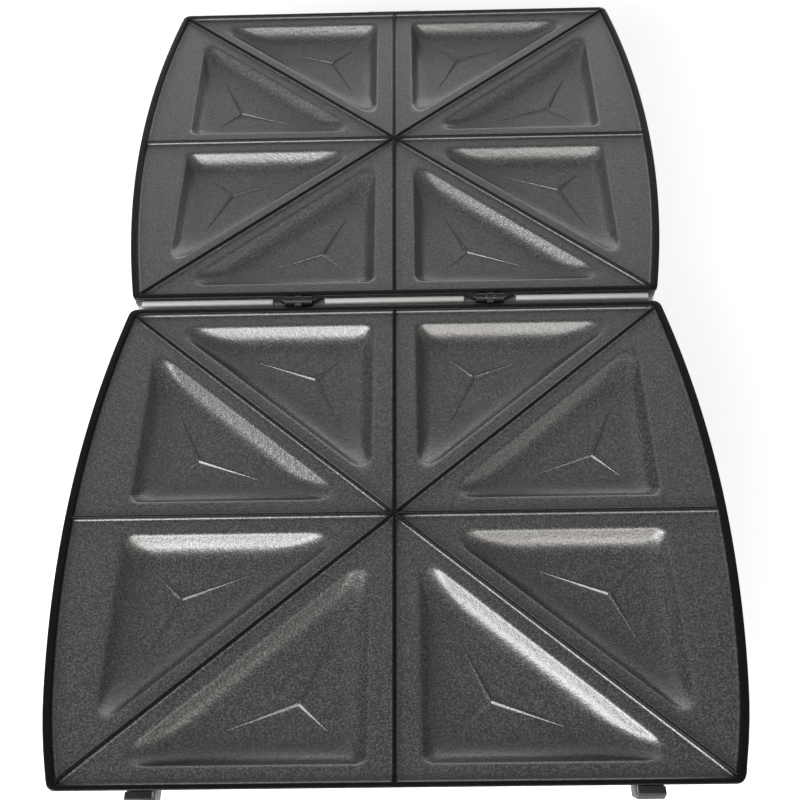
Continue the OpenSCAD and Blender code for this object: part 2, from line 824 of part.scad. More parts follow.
module lower_reflector() {
    color("gainsboro") on_base() reflector();
}

module upper_reflector() {
    color("gainsboro") on_lid() reflector();
}

module lower_reflector_screws() {
    color("silver") on_base() reflector_screws();
}

module upper_reflector_screws() {
    color("silver") on_lid() reflector_screws();
}

sensor_r = 7.5;
sensor_h = 4.6;
sensor_body_r = 5.6;
sensor_body_h = 3.2;
bracket_w = 14;
bracket_t = 0.9;

// A bimetal switch pressed against the plate where the ribs cross.
module thermostat() {
    color("#d9d2c4")
    on_lid()
    translate([0, mid_y, 0]) {
        translate([0, 0, under_z - touch - sensor_h]) cylinder(r = sensor_r, h = sensor_h);
        translate([0, 0, under_z - touch - sensor_h - sensor_body_h])
            cylinder(r = sensor_body_r, h = sensor_body_h);
        both_sides() translate([8.5, 0, under_z - touch - sensor_h + 1.4])
            block([-2, -1.6, 0], [3, 1.6, 0.8]);
    }
}

module thermostat_bracket() {
    top = under_z - sensor_h - sensor_body_h - 2 * touch;
    foot = reflector_z + touch;
    color("silver")
    on_lid()
    translate([0, mid_y, 0])
    along_x(bracket_w)
    polygon([[-7, top], [11, top], [11, foot + bracket_t], [24, foot + bracket_t], [24, foot],
             [11 - bracket_t, foot], [11 - bracket_t, top - bracket_t], [-7, top - bracket_t]]);
}

// The one-shot fuse lies against the back of the reflector.
module thermal_fuse() {
    fuse_r = 2;
    color("#c9b06a")
    on_lid()
    translate([0, mid_y - 30, reflector_z - reflector_t - touch - fuse_r]) {
        tube_x(fuse_r, -10, 10);
        tube_x(0.5, -22, 22);
    }
}

// ---------------------------------------------------------------- base fittings

terminal_w = 22;
terminal_d = 26;
terminal_h = 13;
terminal_x = gland_x - 42;
terminal_y = gland_y + 34;

module foot() {
    rotate_extrude()
    polygon([[0, floor_z], [foot_r - 1.4, floor_z], [foot_r - 0.5, floor_z + 0.5], [foot_r, floor_z + 1.4],
             [foot_r, bottom_z + foot_recess - touch], [foot_hole_r - 0.1, bottom_z + foot_recess - touch],
             [foot_hole_r - 0.1, inner_bottom_z + touch], [foot_hole_r + 0.9, inner_bottom_z + touch + 0.3],
             [foot_hole_r - 0.6, inner_bottom_z + 2.4], [0, inner_bottom_z + 2.4]]);
}

module feet() {
    color("#2a2a2b") on_base() at_feet() foot();
}

module lid_pads() {
    color("#2a2a2b") on_lid() at_feet() foot();
}

flange_r = 9.5;
flange_t = 3.4;
gland_length = 18;
nut_t = 3.5;

module cord_gland() {
    color("#202021")
    on_base()
    translate([gland_x, gland_y, gland_z]) rotate([0, 90, 0])
    difference() {
        union() {
            translate([0, 0, touch]) cylinder(r1 = flange_r, r2 = flange_r - 1.6, h = flange_t);
            translate([0, 0, flange_t - gland_length])
                cylinder(r = gland_neck_r, h = gland_length - flange_t + 1);
        }
        translate([0, 0, -gland_length]) cylinder(r = gland_bore_r, h = 2 * gland_length);
    }
}

module gland_nut() {
    color("#202021")
    on_base()
    translate([gland_x - 7 - touch - nut_t, gland_y, gland_z]) rotate([0, 90, 0])
    difference() {
        cylinder(r = 10, h = nut_t, $fn = 6);
        translate([0, 0, -1]) cylinder(r = gland_neck_r + 0.05, h = nut_t + 2);
    }
}

// Three screw terminals on a moulded block, where the cord meets the leads.
module terminal_block() {
    color("#e8e2d2")
    on_base()
    translate([terminal_x, terminal_y, inner_bottom_z + touch])
    difference() {
        union() {
            translate([0, 0, 1.5]) cube([terminal_w, terminal_d, 3], center = true);
            for (i = [-1:1])
                translate([0, i * 8, terminal_h / 2]) cube([terminal_w - 4, 7, terminal_h], center = true);
        }
        for (i = [-1:1]) {
            for (x = [-5, 5]) translate([x, i * 8, terminal_h / 2]) cylinder(r = 1.6, h = terminal_h);
            translate([0, i * 8, terminal_h * 0.4]) tube_x(1.5, -terminal_w, terminal_w);
        }
    }
}

// ---------------------------------------------------------------- plate locks

lock_foot_z = -16;
lock_arm_z = -7;
snap_t = 1.5;
snap_grow = 1.5;

// A sliding lock: its nose reaches over the plate's lug, and its stem runs in the wall's slot.
module plate_lock() {
    wall_gap = 0.35;
    low_y = front_y - front_inset(lock_foot_z) + wall_gap;
    top_z = -lug_foot - 0.3;
    top_y = front_y - front_inset(top_z) + wall_gap;
    stem_z = stem_top - stem_t;
    snap_y = front_y - front_inset(stem_z - snap_grow) - wall_t - wall_gap;
    translate([lock_x, 0, 0]) {
        along_x(lock_w)
        polygon([[front_y + 0.3, -0.3], [front_y + lock_reach - 0.5, -0.3], [front_y + lock_reach, -0.8],
                 [front_y + lock_reach, lock_arm_z], [front_y - 1, lock_foot_z], [low_y, lock_foot_z],
                 [top_y, top_z], [front_y + lug_reach + 0.3, top_z],
                 [front_y + lug_reach + 0.3, -lug_top + 0.3],
                 [front_y + 0.3, -lug_top + 0.3]]);
        block([-stem_w / 2, snap_y - snap_t, stem_z], [stem_w / 2, top_y + 0.5, stem_top]);
        block([-stem_w / 2, snap_y - snap_t, stem_z - snap_grow], [stem_w / 2, snap_y, stem_top]);
    }
}

module lower_lock_left() {
    color("#3a3a3b") on_base() mirror([1, 0, 0]) plate_lock();
}

module lower_lock_right() {
    color("#3a3a3b") on_base() plate_lock();
}

module upper_lock_left() {
    color("#3a3a3b") on_lid() mirror([1, 0, 0]) plate_lock();
}

module upper_lock_right() {
    color("#3a3a3b") on_lid() plate_lock();
}

// ---------------------------------------------------------------- lid fittings

board_z = -34;
board_w = 56;
board_d = 18;
board_t = 1.6;
lamp_post_x = 23;
lamp_r = 2.8;
lens_flange_t = 1.2;

module lamp_board() {
    color("#b98b4e")
    on_lid()
    translate([0, lens_y, board_z])
    linear_extrude(board_t)
    rounded_rect(board_w, board_d, 2);
}

module neon_lamps() {
    color("orange")
    on_lid()
    for (x = [-lens_x, lens_x])
        translate([x, lens_y, 0]) {
            lamp_foot = inner_bottom_z + lens_flange_t + 2 * touch;
            translate([0, 0, lamp_foot + lamp_r])
                cylinder(r = lamp_r, h = board_z - touch - lamp_foot - lamp_r);
            translate([0, 0, lamp_foot + lamp_r]) sphere(lamp_r);
        }
}

// A domed lens with a flange that sits inside the lid.
module lens() {
    rise = 1.4;
    rotate_extrude()
    polygon(concat(
        [[0, inner_bottom_z + touch + lens_flange_t], [lens_r + 1.6, inner_bottom_z + touch + lens_flange_t],
         [lens_r + 1.6, inner_bottom_z + touch], [lens_r, inner_bottom_z + touch], [lens_r, bottom_z]],
        [for (a = [15:15:90]) [lens_r * cos(a), bottom_z - rise * sin(a)]]
    ));
}

module power_lens() {
    color("red") on_lid() translate([-lens_x, lens_y, 0]) lens();
}

module ready_lens() {
    color("limegreen") on_lid() translate([lens_x, lens_y, 0]) lens();
}

// A bow of rounded bar, cut to the slope of the lid's front wall.
module handle() {
    color("#2b2c2d")
    on_lid()
    difference() {
        translate([0, handle_centre_y, handle_z]) rotate([0, 0, 4])
            rotate_extrude(angle = 172) translate([handle_bow_r, 0]) rounded_rect(handle_t, handle_h, 4);
        loft(outer_rings(touch));
        at_handle_screws() translate([0, 0, front_y - 40]) cylinder(r = handle_screw_r - 0.3, h = 39);
    }
}

module handle_screws() {
    head_y = front_y - front_inset(handle_z - 3) - wall_t - 0.4;
    color("silver")
    on_lid()
    at_handle_screws() {
        translate([0, 0, head_y - 1.6]) cylinder(r = 3, h = 1.6);
        translate([0, 0, head_y - 1]) cylinder(r = handle_screw_r - 0.35, h = 12);
    }
}

latch_nose = 10.6;       // how far the hook reaches in from the pivot
latch_nose_t = 3;
latch_drop = -strike_top + seat + latch_nose_t - pivot_z + closed_gap;

// The latch hangs folded at the lid's front, and swings half a turn to hook under the base.
module latch() {
    half_t = latch_t / 2;
    color("#2b2c2d")
    on_lid()
    translate([0, pivot_y, pivot_z])
    difference() {
        along_x(latch_w) {
            circle(2.2);
            polygon([[-half_t, 0], [-half_t, -latch_drop], [latch_nose - 1, -latch_drop],
                     [latch_nose, -latch_drop + 1], [latch_nose, -latch_drop + latch_nose_t],
                     [half_t, -latch_drop + latch_nose_t], [half_t, 0]]);
        }
        tube_x(latch_pin_r + pin_clearance, -latch_w, latch_w);
        translate([0, -latch_t, -latch_drop * 0.5]) rotate([-90, 0, 0])
            linear_extrude(2 * latch_t) rounded_rect(latch_w * 0.45, latch_drop * 0.34, 2);
    }
}

module latch_pin() {
    reach = latch_w / 2 + ear_gap + latch_ear_t;
    color("silver")
    on_lid()
    translate([0, pivot_y, pivot_z]) tube_x(latch_pin_r, -reach, reach);
}

base_housing();
lower_plate();
lower_heater();
lower_heater_clips();
lower_reflector();
lower_reflector_screws();
base_hinge_ears();
base_hinge_screws();
feet();
cord_gland();
gland_nut();
terminal_block();
lower_lock_left();
lower_lock_right();
lid_housing();
upper_plate();
upper_heater();
upper_heater_clips();
upper_reflector();
upper_reflector_screws();
lid_hinge_lugs();
lid_hinge_screws();
hinge_pins();
lid_pads();
thermostat();
thermostat_bracket();
thermal_fuse();
lamp_board();
neon_lamps();
power_lens();
ready_lens();
handle();
handle_screws();
latch();
latch_pin();
upper_lock_left();
upper_lock_right();
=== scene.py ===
# %% [markdown]
# # A four-slice sandwich toaster, lying open
# The toaster has two halves on one hinge: a base, and a lid that folds back flat behind it.
# Each half is a white moulded housing that carries a heavy cast plate with a dark non-stick
# coating. A plate has eight triangular pockets, so that four slices of bread lie on it and each
# is pressed into two sealed triangles. The plates lift out, and sliding locks hold them.
#
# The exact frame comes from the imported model. This script keeps its pieces where they are, and
# replaces the ones that need softer edges and finer forms than a plain solid has.

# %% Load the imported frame
import json
import math
import bmesh
import bpy
from mathutils import Matrix, Vector


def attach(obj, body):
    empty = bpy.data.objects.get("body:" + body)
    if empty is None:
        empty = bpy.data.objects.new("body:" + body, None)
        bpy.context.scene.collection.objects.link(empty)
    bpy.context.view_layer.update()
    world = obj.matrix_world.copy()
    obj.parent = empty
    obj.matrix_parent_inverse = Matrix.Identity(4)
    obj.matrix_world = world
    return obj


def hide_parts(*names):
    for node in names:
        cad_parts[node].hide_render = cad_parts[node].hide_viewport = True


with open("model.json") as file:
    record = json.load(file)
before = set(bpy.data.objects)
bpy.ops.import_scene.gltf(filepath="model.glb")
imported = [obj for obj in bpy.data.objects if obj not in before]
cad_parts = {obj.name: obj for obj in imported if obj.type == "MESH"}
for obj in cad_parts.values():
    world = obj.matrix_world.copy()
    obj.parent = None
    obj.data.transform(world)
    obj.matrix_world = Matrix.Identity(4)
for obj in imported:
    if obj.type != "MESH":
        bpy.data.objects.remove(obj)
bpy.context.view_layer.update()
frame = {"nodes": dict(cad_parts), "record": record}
nodes = frame["nodes"]

# %% [markdown]
# ## Sizes that the pieces share
# Both halves are drawn in one half frame, in millimetres: x runs along the hinge, y goes away
# from the hinge line, and z is 0 at the top of the plate's rim. A finished mesh is scaled to
# metres and moved to its half at the end, so every number below is one that a drawing would show.

# %% Sizes in millimetres
plate_w = 291.0        # across the bowed sides
bow_r = 616.0          # radius of a bowed side
edge_y = 3.5           # hinge edge of a plate, from the hinge line
front_y = 247.5        # its front edge
rim_w = 3.6
rim_front_w = 2.4
rib_h = 2.2            # the deck lies this far below the rim
tuck_length = 38.0     # how far from the front the lower plate's sides start to curve in more
corner_tuck = 2.1      # and by how much they have done so at its front corners
mid_y = (edge_y + rim_w + front_y - rim_front_w) / 2
hinge_y, rim_z = -17.45, 48.0
hinge_x = 48.5         # the two hinges
lock_x = 96.4          # the two sliding locks at the front, and the plate's lugs under them
lock_w = 10.4
toe_x = 90.0           # the two toes at a plate's hinge edge
print("the ribs cross at y =", round(mid_y, 2), "mm from the hinge")


def side_x(y, inset=0.0):
    """Distance of the bowed side from the middle, at y from the hinge."""
    return math.sqrt((bow_r - inset) ** 2 - (y - mid_y) ** 2) - (bow_r - plate_w / 2)


# %% [markdown]
# ## Helpers for lofted shapes
# Plates, housings and pockets are all rings joined into a skin. Each ring starts as a flat face
# with sharp corners. A vertex bevel rounds its corners, and then the face goes and its edges stay.
# `bridge_loops` joins one ring to the next. Rings with the same number of points bridge cleanly,
# so the corner radius and the section can change from ring to ring without any hand-made faces.

# %% Ring helpers
def ring_from(bm, verts, corners, radius, segments=5):
    """Rounds the given corners of a flat polygon and returns its edges."""
    face = bm.faces.new(verts)
    for v, r in zip(corners, radius):
        a, b = ((e.other_vert(v).co - v.co).normalized() for e in v.link_edges)
        half = a.angle(b) / 2
        made = bmesh.ops.bevel(bm, geom=[v], offset=r / math.tan(half), offset_type='OFFSET',
                               segments=segments, profile=0.5, affect='VERTICES',
                               clamp_overlap=False, material=-1)
        face = max(made["verts"][0].link_faces, key=lambda f: len(f.verts))
    edges = list(face.edges)
    bmesh.ops.delete(bm, geom=[face], context='FACES_ONLY')
    return edges


def outline(bm, side, hinge, front, z, tuck=0.0, radius=4.0, steps=30):
    """The plate's outline as a ring, pulled in by its own amount at sides, hinge edge and front.

    The sides can also curve in a little more over their last stretch, by `tuck` at the front corners.
    """
    y0, y1 = edge_y + hinge, front_y - front
    a0, a1 = (math.asin((y - mid_y) / (bow_r - side)) for y in (y0, y1))
    first = bm.verts.new((side_x(y0, side), y0, z))
    before = set(bm.verts)
    bmesh.ops.spin(bm, geom=[first], cent=(plate_w / 2 - bow_r, mid_y, 0), axis=(0, 0, 1),
                   angle=a1 - a0, steps=steps, use_duplicate=False)
    right = [first] + sorted(set(bm.verts) - before, key=lambda v: v.co.y)
    for v in right:
        v.co.x -= tuck * max(0.0, 1 - (front_y - v.co.y) / tuck_length) ** 2
    left = [bm.verts.new((-v.co.x, v.co.y, v.co.z)) for v in reversed(right)]
    for v in right[1:]:
        for e in list(v.link_edges):
            bm.edges.remove(e)
    return ring_from(bm, right + left, (right[0], right[-1], left[0], left[-1]), [radius] * 4)


def skin(bm, rings):
    """Joins each ring to the next. Rings at exactly one height can join crosswise, so none are."""
    for a, b in zip(rings, rings[1:]):
        bmesh.ops.bridge_loops(bm, edges=a + b)


def to_half(bm, base):
    """From the half frame to the whole toaster: metres, and turned round for the base."""
    bmesh.ops.scale(bm, vec=(0.001,) * 3, verts=bm.verts)
    if base:
        bmesh.ops.rotate(bm, cent=(0, 0, 0), matrix=Matrix.Rotation(math.pi, 3, 'Z'), verts=bm.verts)
    bmesh.ops.translate(bm, vec=(0, hinge_y / 1000, rim_z / 1000), verts=bm.verts)


def finish_mesh(bm, name, body, replaces, sharp=38.0):
    """Makes the object, smooth except at edges sharper than the angle, and puts it in the frame."""
    bmesh.ops.recalc_face_normals(bm, faces=bm.faces)
    for f in bm.faces:
        f.smooth = True
    for e in bm.edges:
        e.smooth = len(e.link_faces) == 2 and e.calc_face_angle(0) < math.radians(sharp)
    mesh = bpy.data.meshes.new(name)
    bm.to_mesh(mesh)
    bm.free()
    piece = bpy.data.objects.new(name, mesh)
    bpy.context.scene.collection.objects.link(piece)
    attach(piece, body)
    if replaces:
        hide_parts(*replaces)
    print(name, len(mesh.polygons), "faces")
    return piece


# %% [markdown]
# ## The cast plates
# A plate is die-cast aluminium. A raised rim runs round it and closes against the rim of the other
# plate. Thin sealing ribs cross it and press the bread shut. Between them are the pockets, with a
# soft lip, a straight slope and a well-rounded foot, so that nothing sticks.
#
# The skin of a plate is built in this order: the rim's section swept as rings, one ring stack for
# each pocket, and the flat deck between them, which `triangle_fill` makes with holes. A flat strip
# round every opening keeps the shading of the deck level right up to the curve.

# %% The rim's section, as (share of the rim's width, distance more, height, taper at the front)
rim_section = [
    (1, 1.5, -2.2, 0), (1, 1.15, -2.195, 0), (1, 0.8, -2.12, 0), (1, 0.48, -1.95, 0),
    (1, 0.2, -1.66, 0), (0.99, 0, -1.2, 0), (0.95, 0, -0.6, 0), (0.9, 0, -0.25, 0),
    (0.84, 0, -0.06, 0), (0.76, 0, 0, 0), (0.26, 0, -0.005, 0), (0.12, 0, -0.12, 0),
    (0.03, 0, -0.42, 0), (0, 0, -0.95, 0.2), (0, 0, -2.5, 0.95), (0, 0.12, -2.8, 1.0),
    (0, 0.45, -2.9, 1.0), (0, 1.0, -2.95, 0.8), (0, 3.45, -4.3, 0), (0, 3.5, -5.0, 0),
    (0, 3.8, -5.19, 0), (0, 4.2, -5.2, 0),
]


def rim_ring(bm, tuck, share, more, z, taper):
    width = share * rim_w + more
    return outline(bm, width, width, share * rim_front_w + more + taper, z, tuck)


# %% [markdown]
# ### Pockets
# A quarter of the plate is one slice of bread, cut corner to corner, so it holds two right-angled
# pockets: one along the front or hinge edge and one along the side. Both are offset from the same
# straight lines. Moving all three sides in by the same amount gives the next ring down.

# %% A pocket's corners and its section
corner_x = side_x(front_y)
slope = (front_y - mid_y) / corner_x          # of the diagonal rib
lean = math.atan(slope)
deck_half = front_y - rim_front_w - mid_y
pocket_depth = 8.5
# how far a pocket's lip lies from the middle of each rib beside it, and from the rim
diagonal_gap, middle_gap, cross_gap = 7.6, 10.5, 8.6
front_gap, side_gap = 7.6, 14.8


def pocket_corners(kind, t):
    """A pocket's corners in the first quarter, from the plate's middle, its sides pulled in by t."""
    rise = (diagonal_gap + t) / math.cos(lean)
    if kind == "edge":
        x, y = middle_gap + t, deck_half - front_gap - t
    else:
        x, y, rise = corner_x - side_gap - t, cross_gap + t, -rise
    return [(x, y), (x, slope * x + rise), ((y - rise) / slope, y)]


def pocket_ring(bm, kind, quarter, t, depth, corner_r=5.0, tip_r=7.5):
    sx, sy = quarter
    verts = [bm.verts.new((sx * x, mid_y + sy * y, -rib_h - depth))
             for x, y in pocket_corners(kind, t)]
    return ring_from(bm, verts, verts, (corner_r, tip_r, tip_r), 7)


# how far each ring is pulled in, its depth below the deck, and its radii at the corner and tips
pocket_section = [
    (-1.9, 0, 4.5, 6), (-1.45, 0.005, 4.5, 6), (-0.95, 0.06, 4.5, 6), (-0.45, 0.22, 4.5, 6),
    (0.0, 0.5, 4.5, 6), (0.4, 0.92, 4.5, 6), (0.75, 1.45, 4.5, 6), (1.9, 3.25, 5, 6.5),
    (2.7, 4.42, 5.5, 7), (3.4, 5.3, 6, 7.5), (4.3, 6.2, 6.5, 8), (5.4, 7.0, 7, 8.5),
    (6.6, 7.6, 7.5, 9), (8.0, 8.05, 8, 9), (9.6, 8.34, 8, 9), (11.4, 8.47, 8, 9),
    (13.0, pocket_depth, 8, 9),
]
# the underside, which follows the pockets at about the casting's thickness
metal_section = [(-2.4, 3.0), (-2.2, 3.01), (-1.8, 3.3), (2.6, 8.2), (5.6, 9.8), (7.6, 10.5),
                 (9.6, 10.7)]
quarters = [(sx, sy) for sx in (1, -1) for sy in (1, -1)]
arm_lengths = (17.0, 31.0, 31.0)    # of the Y on a floor, to the right-angled corner and the tips

# %% [markdown]
# ### Ribs
# A sealing rib is a fin: a small fillet at its foot, steep sides and a narrow round crest. One
# cross-section face is extruded the length of the rib, and its ends run into the rim. On each
# pocket's floor stands a low Y, whose three arms fade out towards the corners.

# %% Rib, Y and lug helpers
rib_section = [(1.8, 0), (1.45, 0.05), (1.15, 0.2), (0.92, 0.46), (0.78, 0.85), (0.68, 1.3),
               (0.56, 1.7), (0.4, 1.98), (0.2, 2.12), (0, 2.16)]


def prism(bm, section, length, turn, at, taper=None):
    """Extrudes a section drawn in (across, up) along X, then turns it about Z and moves it."""
    verts = [bm.verts.new((-length / 2, y, z)) for y, z in section]
    face = bm.faces.new(verts)
    new = bmesh.ops.extrude_face_region(bm, geom=[face], use_keep_orig=True)["geom"]
    end = [v for v in new if isinstance(v, bmesh.types.BMVert)]
    bmesh.ops.translate(bm, vec=(length, 0, 0), verts=end)
    if taper:
        bmesh.ops.scale(bm, vec=(1, taper, taper), verts=end)
    bmesh.ops.rotate(bm, cent=(0, 0, 0), matrix=Matrix.Rotation(turn, 3, 'Z'), verts=verts + end)
    bmesh.ops.translate(bm, vec=at, verts=verts + end)
    return verts + end


def both(section):
    """A half section and its mirror image, as one closed outline."""
    return section + [(-y, z) for y, z in reversed(section) if y > 0]


def rib(bm, length, turn):
    foot = [(1.8, -0.8)] + rib_section
    prism(bm, both(foot), length, turn, (0, mid_y, -rib_h))


def floor_y(bm, kind, quarter):
    """The Y on a pocket's floor, centred where the corner bisectors meet."""
    sx, sy = quarter
    p = [Vector((sx * x, sy * y, 0)) for x, y in pocket_corners(kind, 0)]
    sides = [(p[1] - p[2]).length, (p[2] - p[0]).length, (p[0] - p[1]).length]
    centre = sum((s * q for s, q in zip(sides, p)), Vector()) / sum(sides)
    arm = both([(1.5, -0.5), (1.5, 0), (1.05, 0.12), (0.7, 0.5), (0.4, 0.92), (0.15, 1.08),
                (0, 1.1)])
    for q, length in zip(p, arm_lengths):
        way = (q - centre).normalized()
        at = centre + way * (length / 2 - 0.6) + Vector((0, mid_y, 0.05 - rib_h - pocket_depth))
        prism(bm, arm, length, math.atan2(way.y, way.x), at, taper=0.12)


def block(bm, lo, hi, round_by=0.4):
    """A box between two corners with rounded edges."""
    made = bmesh.ops.create_cube(bm, size=1.0)["verts"]
    lo, hi = Vector(lo), Vector(hi)
    bmesh.ops.scale(bm, vec=hi - lo, verts=made)
    bmesh.ops.translate(bm, vec=(lo + hi) / 2, verts=made)
    edges = list({e for v in made for e in v.link_edges})
    bmesh.ops.bevel(bm, geom=edges, offset=round_by, offset_type='OFFSET', segments=3, profile=0.5,
                    affect='EDGES', clamp_overlap=True, material=-1)


# %% Make one plate
def make_plate(name, body, base, cad_node):
    bm = bmesh.new()
    tuck = corner_tuck if base else 0.0
    rim_rings = [rim_ring(bm, tuck, *s) for s in rim_section]
    skin(bm, rim_rings)
    tops, bottoms = [], []
    for quarter in quarters:
        for kind in ("edge", "side"):
            walls = [pocket_ring(bm, kind, quarter, *ring) for ring in pocket_section]
            skin(bm, walls)
            bmesh.ops.contextual_create(bm, geom=walls[-1])
            tops += walls[0]
            metal = [pocket_ring(bm, kind, quarter, *ring) for ring in metal_section]
            skin(bm, metal)
            bmesh.ops.contextual_create(bm, geom=metal[-1])
            bottoms += metal[0]
    for holes in (rim_rings[0] + tops, rim_rings[-1] + bottoms):
        bmesh.ops.triangle_fill(bm, use_beauty=True, use_dissolve=False, edges=holes,
                                normal=(0, 0, 1))
    rib(bm, 2 * side_x(mid_y) - 2.4, 0)
    rib(bm, front_y - edge_y - 3.0, math.pi / 2)
    for s in (1, -1):
        rib(bm, 2 * math.hypot(corner_x, front_y - mid_y) - 6.0 - 2 * tuck, s * lean)
    hub = bmesh.ops.create_cone(bm, cap_ends=True, segments=24, radius1=3.0, radius2=1.1,
                                depth=2.3)["verts"]
    bmesh.ops.translate(bm, vec=(0, mid_y, -rib_h + 0.85), verts=hub)
    for quarter in quarters:
        floor_y(bm, "edge", quarter)
        floor_y(bm, "side", quarter)
    lug_top = -2.1 if base else -3.7
    for s in (1, -1):
        x = s * lock_x
        block(bm, (x - 5, front_y - 1.2, -4.9), (x + 5, front_y + 1.6, lug_top))
        x = s * toe_x
        block(bm, (x - 5, edge_y + 7, -9.9), (x + 5, edge_y + 9.2, -4.5))
        block(bm, (x - 5, edge_y + 2, -9.9), (x + 5, edge_y + 9.2, -8.2))
    to_half(bm, base)
    return finish_mesh(bm, name, body, [cad_node])


lower_plate = make_plate("lower_grill_plate", "base", True, "lower_plate")
upper_plate = make_plate("upper_grill_plate", "lid", False, "upper_plate")

# %% [markdown]
# ## Plate locks
# A lock is a small moulding that slides along the front wall. Its nose laps over a lug of the plate,
# and a stem with a snap holds it in its slot. It is one extruded section with every edge bevelled,
# as a moulded part has. The lid's noses sit lower than the base's, so nothing stands above the rim.

# %% The four locks
body_of = {n: body for body, members in frame["record"]["behaviour"]["bodies"].items()
           for n in members}


def make_lock(name, right, base, cad_node):
    top, hook = (-0.3, -1.8) if base else (-2.8, -3.5)
    f = front_y
    section = [(f + 0.3, top), (f + 3.1, top), (f + 3.6, top - 0.5), (f + 3.6, -5.6), (f - 1, -16),
               (f - 6.07, -16), (f - 2.07, -5.2), (f + 1.9, -5.2), (f + 1.9, hook), (f + 0.3, hook)]
    centre = lock_x * (1 if right else -1) * (-1 if base else 1)
    bm = bmesh.new()
    body = prism(bm, section, lock_w, 0, (centre, 0, 0))
    edges = list({e for v in body for e in v.link_edges})
    bmesh.ops.bevel(bm, geom=edges, offset=0.3, offset_type='OFFSET', segments=2, profile=0.5,
                    affect='EDGES', clamp_overlap=True, material=-1)
    block(bm, (centre - 4, f - 9.49, -11.05), (centre + 4, f - 1.57, -8.05), 0.3)
    block(bm, (centre - 4, f - 9.49, -12.55), (centre + 4, f - 7.99, -8.05), 0.3)
    to_half(bm, base)
    return finish_mesh(bm, name, body_of[cad_node], [cad_node])


locks = []
for half in ("lower", "upper"):
    for side in ("left", "right"):
        locks.append(make_lock(f"{half}_slide_lock_{side}", side == "right", half == "lower",
                               f"{half}_lock_{side}"))

# %% [markdown]
# ## The bead along the lid's hinge edge
# The lid's housing ends in a rounded bead beside the hinge line, the one white line that shows between
# the two plates. It is a rolled edge of the moulding, so it has the housing's plastic, and it stops
# short of each hinge to leave the knuckles room. The section is rounded on top and steep in front.

# %% Three lengths of the bead
bead_clear = 13.2      # half of the gap that it leaves at a hinge
bead_end = side_x(edge_y) - 4.6
bead_section = [(0.05, -4.4), (0.0, -2.9), (0.12, -2.2), (0.45, -1.65), (1.0, -1.3), (1.6, -1.15),
                (2.3, -1.2), (2.8, -1.45), (3.1, -1.9), (3.2, -2.6), (3.2, -4.4)]
bm = bmesh.new()
for x0, x1 in ((-bead_end, -hinge_x - bead_clear), (-hinge_x + bead_clear, hinge_x - bead_clear),
               (hinge_x + bead_clear, bead_end)):
    body = prism(bm, bead_section, x1 - x0, 0, ((x0 + x1) / 2, 0, 0))
    ends = {e for v in body for e in v.link_edges if abs(e.verts[0].co.x - e.verts[1].co.x) < 1e-6}
    bmesh.ops.bevel(bm, geom=list(ends), offset=0.25, offset_type='OFFSET', segments=2,
                    profile=0.5, affect='EDGES', clamp_overlap=True, material=-1)
to_half(bm, False)
bead = finish_mesh(bm, "lid_hinge_bead", "lid", [])

# %% [markdown]
# ## Finishes
# Effects that several finishes share are node groups. `speckle` is the orange-peel of a sprayed
# coating: it gives a mask for colour and a height for the bump. `mottle` is the slow change in
# tone that keeps a large surface from looking flat.

# %% Node helpers
def node(tree, kind, **inputs):
    n = tree.nodes.new(kind)
    for key, value in inputs.items():
        if hasattr(n, key):
            setattr(n, key, value)
        else:
            n.inputs[key.replace("_", " ")].default_value = value
    return n


def new_group(name, inputs, outputs):
    """A node group with float inputs and outputs; Vector inputs are marked by a value of None."""
    tree = bpy.data.node_groups.new(name, 'ShaderNodeTree')
    for label, value in inputs:
        kind = 'NodeSocketVector' if value is None else 'NodeSocketFloat'
        socket = tree.interface.new_socket(name=label, in_out='INPUT', socket_type=kind)
        if value is not None:
            socket.default_value = value
    for label in outputs:
        tree.interface.new_socket(name=label, in_out='OUTPUT', socket_type='NodeSocketFloat')
    return tree, tree.nodes.new('NodeGroupInput'), tree.nodes.new('NodeGroupOutput')


# %% The speckle of a sprayed coating
speckle, g_in, g_out = new_group(
    "speckle", [("Vector", None), ("Scale", 900.0), ("Contrast", 1.0)], ["Mask", "Height"])
fine = node(speckle, 'ShaderNodeTexNoise', Detail=3.0, Roughness=0.6)
coarse = node(speckle, 'ShaderNodeTexNoise', Detail=1.0, Roughness=0.5)
third = node(speckle, 'ShaderNodeMath', operation='MULTIPLY')
third.inputs[1].default_value = 0.35
speckle.links.new(g_in.outputs["Scale"], third.inputs[0])
for tex, src in ((fine, g_in.outputs["Scale"]), (coarse, third.outputs[0])):
    speckle.links.new(g_in.outputs["Vector"], tex.inputs["Vector"])
    speckle.links.new(src, tex.inputs["Scale"])
spread = node(speckle, 'ShaderNodeMapRange', From_Min=0.44, From_Max=0.72)
speckle.links.new(fine.outputs["Fac"], spread.inputs["Value"])
speckle.links.new(g_in.outputs["Contrast"], spread.inputs["To Max"])
both_heights = node(speckle, 'ShaderNodeMath', operation='ADD')
speckle.links.new(fine.outputs["Fac"], both_heights.inputs[0])
speckle.links.new(coarse.outputs["Fac"], both_heights.inputs[1])
speckle.links.new(spread.outputs["Result"], g_out.inputs["Mask"])
speckle.links.new(both_heights.outputs[0], g_out.inputs["Height"])

